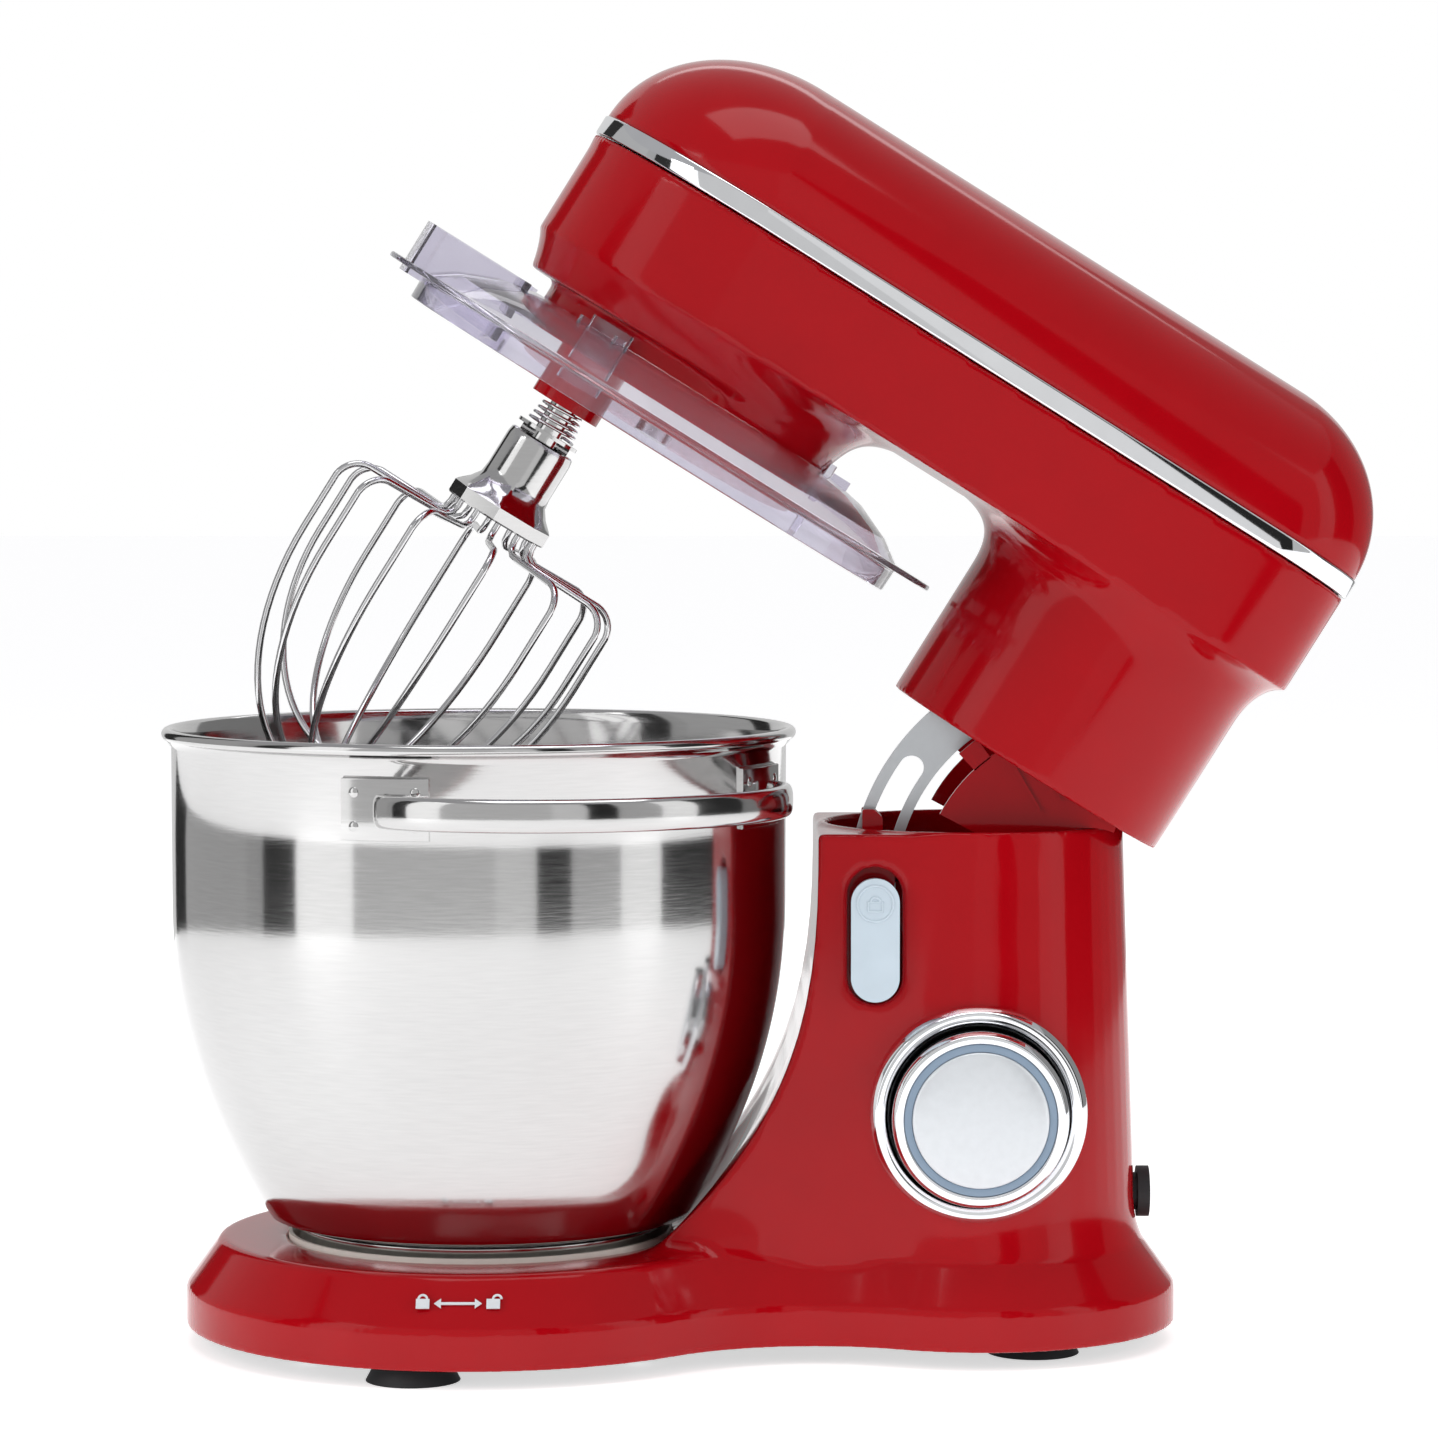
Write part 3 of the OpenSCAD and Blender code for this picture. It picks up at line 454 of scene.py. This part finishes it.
def bowl_grip():
    """The bowl's grip: a bar of rounded section that sweeps out from two welded plates."""
    level, start, end, steps, sides = 206, -104, -24, 96, 24

    def middle(t):
        """The bar's middle, seen from above: t runs from 0 at one plate to 1 at the other."""
        t = min(1, max(0, t))
        angle = radians(start + (end - start) * t)
        radius = BOWL_R + 4.4 + 28.3 * max(0, sin(pi * t)) ** (2 / 3.4)
        return radius * cos(angle), radius * sin(angle)

    rings = []
    for i in range(steps + 1):
        x, y = middle(i / steps)
        (x0, y0), (x1, y1) = middle(i / steps - 0.004), middle(i / steps + 0.004)
        along = Vector((x1 - x0, y1 - y0)).normalized()
        ring = []
        for k in range(sides):
            w = 2 * pi * k / sides
            thick = 2.9 * np.sign(cos(w)) * abs(cos(w)) ** 0.7
            high = 5.9 * np.sign(sin(w)) * abs(sin(w)) ** 0.7
            ring.append((x + along.y * thick, y - along.x * thick, level + high))
        rings.append(ring)
    verts, faces = skin(rings)
    faces += [tuple(range(sides)), tuple(range(len(verts) - 1, len(verts) - 1 - sides, -1))]
    piece("grip_bar", verts, faces, BENCH, "bowl", "stainless", ["bowl_grip"], 60)
    verts, faces = [], []
    for a in (start, end):
        sheet = rounded([(r, level + dz) for r, dz in
                         ((BOWL_R, -11), (BOWL_R + 1.4, -11), (BOWL_R + 1.4, 11), (BOWL_R, 11))], 0.5)
        join(verts, faces, *turned(sheet, 24, a - 8, 16))
        for da, dz in ((-5.6, -6), (-5.6, 6), (5.6, -6), (5.6, 6)):
            spot = radians(a + da)
            rings = []
            for u in (0, 35, 65, 90):
                out, r = 115.5 + 0.7 * cos(radians(u)), max(0.02, 2.0 * sin(radians(u)))
                rings.append([(out * cos(spot) - r * cos(w) * sin(spot),
                               out * sin(spot) + r * cos(w) * cos(spot),
                               level + dz + r * sin(w))
                              for w in np.linspace(0, 2 * pi, 16, endpoint=False)])
            v, f = skin(rings)
            join(verts, faces, v, f + [tuple(range(16))])
    piece("grip_welds", verts, faces, BENCH, "bowl", "stainless", ["grip_plates"], 60)


# ---------------------------------------------------------------- head

BAND_LOW, BAND_HIGH, CROWN = 310.4, 317.8, 50.0
CROWN_FRONT, CROWN_REAR = -14.5, 194.0


def head_outline(inset, steps=6):
    """The head seen from above: a round nose, long sides and a square tail with round corners."""
    corner, tail, half, nose = 36, 247, 62, 74
    return (arc(tail - corner, corner - half, corner - inset, -88, 0, 5 * steps)
            + arc(tail - corner, half - corner, corner - inset, 0, 88, 5 * steps)
            + arc(-2, 0, nose - inset, 93, 267, 16 * steps))


def dome_ring(a, inset=0.0):
    """One level of the domed top: a runs from 0 at the band to 90 degrees on the crest."""
    t, u = sin(radians(a)), max(0.0, cos(radians(a)))
    w = max(0.0, 1 - t ** 2.3) ** (1 / 2.3)
    ring = []
    for x, y in head_outline(inset):
        if x < CROWN_FRONT:
            x = CROWN_FRONT + (x - CROWN_FRONT) * u
        elif x > CROWN_REAR:
            x = CROWN_REAR + (x - CROWN_REAR) * u
        ring.append((x, y * w, BAND_HIGH + (CROWN - inset) * t))
    return ring


def head_top():
    """The glossy domed cover over the motor."""
    levels = [90 * (1 - (1 - i / 44) ** 1.25) for i in range(45)]
    rings = [dome_ring(a, 2.6) for a in reversed(levels[:36])]
    rings.append([(x, y, BAND_HIGH + 0.02) for x, y, z in dome_ring(0, 0.35)])
    rings.append([(x, y, z + 0.35) for x, y, z in dome_ring(0)])
    rings += [dome_ring(a) for a in levels[1:-1]]
    rings.append(dome_ring(89.4))
    verts, faces = skin(rings)
    n = len(rings[0])
    faces += [tuple(reversed(range(n))), tuple(range(len(verts) - n, len(verts)))]
    piece("head_top", verts, faces, HEAD, "head", "red_plastic", ["head_upper_shell"], 50)


def head_trim():
    """The chrome band between the two halves of the head, a little proud and rounded."""
    section = rounded([(2.4, BAND_LOW), (-0.8, BAND_LOW), (-0.8, BAND_HIGH), (2.4, BAND_HIGH)], 0.8)
    columns = [head_outline(inset) for inset, _ in section]
    rings = [[(*column[i], level) for column, (_, level) in zip(columns, section)]
             for i in range(len(columns[0]))]
    verts, faces = skin(rings, True, True)
    piece("head_trim", verts, faces, HEAD, "head", "chrome", ["head_band"], 50)


def head_skin():
    """The lower half of the head with its nose and neck, blended where they join."""
    obj = copy_of("head_lower_shell", "head_skin")
    arch = 270
    skirt = [(0, arch), (0, BAND_LOW), (1.6, BAND_LOW), (1.6, arch)]
    add_shell(obj, [[(x, y, z) for x, y in head_outline(inset)] for inset, z in skirt], HEAD)
    nose_x, neck_x = -3.6, 183.5
    rounds = [(nose_x, [(67.5, 256), (73.0, BAND_LOW), (71.4, BAND_LOW), (65.9, 256)]),
              (neck_x, [(57, 195), (57, arch), (55.4, arch), (55.4, 195)])]
    for x0, wall in rounds:
        add_shell(obj, [[(x0 + radius * cos(2 * pi * i / 192), radius * sin(2 * pi * i / 192), z)
                         for i in range(192)] for radius, z in wall], HEAD)

    def soft(x, y, z):
        nose = np.hypot(x - nose_x, y)
        neck = np.hypot(x - neck_x, y)
        under = near(z, arch, 30) * (nose > 62) * (neck > 50)
        return under * (z < 305)

    filleted(obj, 1.15, 320, soft, HEAD, 6)
    dress(obj, "head", "red_plastic", ["head_lower_shell"], 45)


def pivot_shield():
    """Curved red cover in the neck's mouth, which hides the hinge, with a flange and three ribs."""
    pivot = BENCH.inverted() @ HINGE
    steps = 24
    verts, faces = [], []

    def sector(r0, r1, a0, a1, y0, y1):
        """A part of a ring about the hinge, between two radii, two angles and two sides."""
        ring = arc(pivot.x, pivot.z, r1, a0, a1, steps) + arc(pivot.x, pivot.z, r0, a1, a0, steps)
        v, f = skin([[(x, y, z) for x, z in ring] for y in (y0, y1)])
        n = len(ring)
        for i in range(steps):
            f += [(i + 1, i, n - 1 - i, n - 2 - i), (n + i, n + i + 1, 2 * n - 2 - i, 2 * n - 1 - i)]
        join(verts, faces, v, f)

    sector(50, 52, 100, 184, -35, 35)
    for y in (-36, 34):
        sector(24, 62, 100, 184, y, y + 2)
        sector(61.5, 70, 158, 165, y, y + 2)
    for a in (126, 139, 152):
        sector(36, 60, a, a + 1.2, -37.2, -35.9)
    piece("pivot_shield", verts, faces, HEAD, "head", "red_plastic", sharp=40)


def latch_guide():
    """Two small red tabs at the column's top that guide the hook plate between them."""
    verts, faces = [], []
    for y0 in (-31.5, -21.6):
        outline = rounded([(138.5, 175), (149.5, 175), (149.5, 197), (146.5, 200), (142, 200),
                           (142, 192), (138.5, 192)], 0.8)
        v, f = skin([[(x, y, z) for x, z in outline] for y in (y0, y0 + 3)])
        n = len(outline)
        f += [tuple(range(n)), tuple(range(2 * n - 1, n - 1, -1))]
        join(verts, faces, v, f)
    piece("latch_guide", verts, faces, BENCH, "base", "red_plastic")


def arch_screw():
    """A recessed screw in the side of the head, over the arch."""
    side = HEAD @ Matrix.Translation((72, -67.2, 284.7)) @ Matrix.Rotation(pi / 2, 4, "X")
    well = rounded([(3.2, -1.5), (5.2, -1.5), (5.2, 0.5), (4.2, 0.7), (3.2, -0.4)], 0.3)
    verts, faces = turned(well, 48)
    piece("screw_well", verts, faces, side, "head", "red_plastic")
    verts, faces = turned([(0.02, -1.4), (3.1, -1.4), (3.1, -0.9), (2.2, -0.4), (0.02, -0.3)], 48)
    piece("arch_screw", verts, faces, side, "head", "steel")


# ---------------------------------------------------------------- splash guard

def guard():
    """The clear splash guard: a flanged, domed ring with three clips and a pouring chute."""
    outline = rounded([(62.9, 246.6), (64, 248.8), (80, 245.7), (94, 239.7), (102.5, 233.7),
                       (117.6, 233.7), (117.6, 231.7), (103.2, 231.6), (103, 223), (101, 223),
                       (101, 231.0), (93, 237.4), (79, 243.4), (65, 246.2)], 0.7)
    verts, faces = turned(outline, 192)

    def add(shape, z0, z1, matrix=Matrix.Identity(4)):
        """An upright wall over an outline."""
        first, n = len(verts), len(shape)
        verts.extend(tuple(matrix @ Vector((x, y, z))) for z in (z0, z1) for x, y in shape)
        faces.extend((first + i, first + (i + 1) % n, first + n + (i + 1) % n, first + n + i)
                     for i in range(n))
        faces.append(tuple(range(first + n - 1, first - 1, -1)))
        faces.append(tuple(range(first + n, first + 2 * n)))

    for turn in (0, 120, 240):
        spin = Matrix.Rotation(radians(turn), 4, "Z")
        add(rounded([(61.6, -9.3), (64.6, -9.3), (64.6, 9.3), (61.6, 9.3)], 1), 230, 253, spin)
        for side in (-1, 1):
            rib = [(64.7, 9.3 * side), (72, 9.3 * side), (72, 7.6 * side), (64.7, 7.6 * side)]
            add(rounded(rib, 0.5), 246.5, 250.5, spin)
    outer = arc(0, 0, 112, 164, 196, 24) + arc(0, 0, 72, 204, 156, 24)
    inner = arc(0, 0, 110, 166, 194, 24) + arc(0, 0, 74, 202, 158, 24)
    n = len(outer)
    rings = [[(*outer[i], 229.5), (*outer[i], 250), (*inner[i], 250), (*inner[i], 229.5)]
             for i in range(n)]
    join(verts, faces, *skin(rings, True, True))
    piece("guard", verts, faces, HEAD, "guard", "clear", ["splash_guard"], 30)


# ---------------------------------------------------------------- whisk and its shaft

LOOPS, WIRE_R, PHASE = 6, 1.3, 8


def whisk():
    """The whisk's wires: loops that leave the plate, bend out and sweep down to a round bottom."""
    wide, low, shoulder, top, bend = 59, 47, 130, 171, 10
    paths = []
    for i in range(LOOPS):
        bottom = low + i * 2.8
        side = [(17.6, top + 1), (17.6, top - 4.4), (18.4, top - 7.4), (21.2, top - 9.2), (25, top - 9.5)]
        side += arc(wide - bend, top - 9.5 - bend, bend, 84, 6, 8)
        side += [(wide * cos(radians(a)) ** 0.9, shoulder - (shoulder - bottom) * sin(radians(a)))
                 for a in range(0, 88, 4)]
        loop = ([(r, 0, z) for r, z in side] + [(0, 0, bottom)] + [(-r, 0, z) for r, z in reversed(side)])
        turn = Matrix.Rotation(radians(PHASE + 180 / LOOPS * i), 4, "Z")
        paths.append([turn @ Vector(p) for p in loop])
    wire("whisk_loops", paths, WIRE_R, BEATER, "whisk", "stainless", ["whisk_wires"], sides=4)


def whisk_head():
    """The whisk's polished hub, which flares into the eight-sided plate that holds the wires."""
    rings, sides = [], 96
    # height, radius, and how far the round turns eight-sided
    sections = [(186, 5.6, 0), (202.4, 5.6, 0), (203, 6.4, 0), (203, 12.2, 0), (202.4, 13.0, 0),
                (200, 13.4, 0), (186, 13.4, 0), (182, 13.9, 0.1), (178.5, 16.4, 0.4), (175.5, 19.6, 0.9),
                (174.4, 20.5, 1), (169.6, 20.5, 1), (169, 19.9, 1), (169, 0.05, 0)]
    for z, radius, square in sections:
        ring = []
        for k in range(sides):
            a = 2 * pi * k / sides
            r = radius * (1 - square + square * cos(pi / 8) / cos(a % (pi / 4) - pi / 8))
            ring.append((r * cos(a), r * sin(a), z))
        rings.append(ring)
    rings.insert(0, [(x * 0.01, y * 0.01, 186) for x, y, z in rings[0]])
    verts, faces = skin(rings)
    faces += [tuple(range(sides)), tuple(range(len(verts) - 1, len(verts) - 1 - sides, -1))]
    piece("whisk_head", verts, faces, BEATER, "whisk", "stainless", ["whisk_hub", "whisk_plate"], 28)


def coil():
    """The spring that presses the whisk's hub down against the cross pin."""
    turns, r0, r1, z0, z1 = 4, 9.6, 7.6, 207.8, 217.2
    steps = turns * 32
    path = []
    for i in range(steps + 1):
        t = i / steps
        r = r0 + (r1 - r0) * t
        path.append((r * cos(2 * pi * turns * t), r * sin(2 * pi * turns * t), z0 + (z1 - z0) * t))
    wire("shaft_coil", [path], 0.6, BEATER, "beater", "stainless", ["shaft_spring"], sides=4)


# ---------------------------------------------------------------- studio

def studio():
    """A pale floor, soft lights and a world that shows metal some dark edges to reflect."""
    bpy.ops.mesh.primitive_plane_add(size=30)
    floor = bpy.context.object
    floor.name = "floor"
    pale = bpy.data.materials.new("floor")
    pale.use_nodes = True
    shader = pale.node_tree.nodes["Principled BSDF"]
    shader.inputs["Base Color"].default_value = (0.9, 0.9, 0.9, 1)
    shader.inputs["Emission Color"].default_value = (1, 1, 1, 1)
    shader.inputs["Emission Strength"].default_value = 0.6
    shader.inputs["Roughness"].default_value = 0.6
    floor.data.materials.append(pale)

    def area(name, place, target, size, power):
        lamp = bpy.data.lights.new(name, "AREA")
        lamp.shape = "RECTANGLE"
        lamp.size, lamp.size_y = size
        lamp.energy = power
        obj = bpy.data.objects.new(name, lamp)
        obj.location = place
        obj.rotation_euler = (Vector(target) - Vector(place)).to_track_quat("-Z", "Y").to_euler()
        bpy.context.scene.collection.objects.link(obj)

    middle = (0, 0, 0.22)
    area("left_box", (-1.5, -0.9, 0.75), middle, (0.5, 1.5), 9)
    area("right_box", (1.6, -0.8, 0.7), middle, (0.45, 1.4), 7)
    area("top_box", (0.1, -0.35, 1.9), middle, (1.5, 0.8), 9)
    area("back_box", (0.3, 1.7, 1.2), middle, (1.8, 0.9), 8)

    world = bpy.data.worlds.new("studio")
    bpy.context.scene.world = world
    world.use_nodes = True
    nodes, links = world.node_tree.nodes, world.node_tree.links
    seen = nodes.new("ShaderNodeLightPath")
    mix = nodes.new("ShaderNodeMixRGB")
    mix.inputs["Color1"].default_value = (0.42, 0.42, 0.43, 1)
    mix.inputs["Color2"].default_value = (1, 1, 1, 1)
    links.new(seen.outputs["Is Camera Ray"], mix.inputs["Fac"])
    links.new(mix.outputs["Color"], nodes["Background"].inputs["Color"])

    # A ring of light and dark cards, which only shows in reflections: each card's two angles in
    # degrees from +X, and its brightness.
    cards = [(-180, -172, 0.4), (-172, -158, 0.03), (-158, -136, 1.3), (-136, -86, 0.62),
             (-86, -71, 0.75), (-71, -58, 0.02), (-58, -38, 0.5), (-38, -20, 1.1), (-20, 8, 0.03),
             (8, 60, 0.25), (60, 122, 0.7), (122, 138, 0.03), (138, 180, 0.45)]
    for i, (a0, a1, level) in enumerate(cards):
        edge = arc(0, 0, 1.4, a0, a1, 11)
        verts, faces = skin([[(x, y, z) for z in (0.0, 1.3)] for x, y in edge], False)
        mesh = bpy.data.meshes.new("card")
        mesh.from_pydata(verts, [], faces)
        card = bpy.data.objects.new(f"card_{i}", mesh)
        glow = bpy.data.materials.new(card.name)
        glow.use_nodes = True
        shader = glow.node_tree.nodes["Principled BSDF"]
        shader.inputs["Base Color"].default_value = (0, 0, 0, 1)
        shader.inputs["Specular IOR Level"].default_value = 0
        shader.inputs["Emission Color"].default_value = (1, 1, 1, 1)
        shader.inputs["Emission Strength"].default_value = level
        mesh.materials.append(glow)
        card.visible_camera = False
        card.visible_shadow = False
        bpy.context.scene.collection.objects.link(card)

    camera = bpy.data.cameras.new("camera")
    camera.lens = 118.9
    camera.sensor_width = 36
    holder = bpy.data.objects.new("camera", camera)
    holder.location = BENCH @ Vector((89.4, -1770, 335))
    holder.rotation_euler = (radians(86.65), 0, 0)
    bpy.context.scene.collection.objects.link(holder)
    bpy.context.scene.camera = holder
    bpy.context.scene.view_settings.view_transform = "Standard"


studio()
base_skin()
lock_symbols()
bezel()
knob()
button_mark()
bowl_skin()
bowl_grip()
head_top()
head_trim()
head_skin()
pivot_shield()
latch_guide()
arch_screw()
guard()
whisk()
whisk_head()
coil()
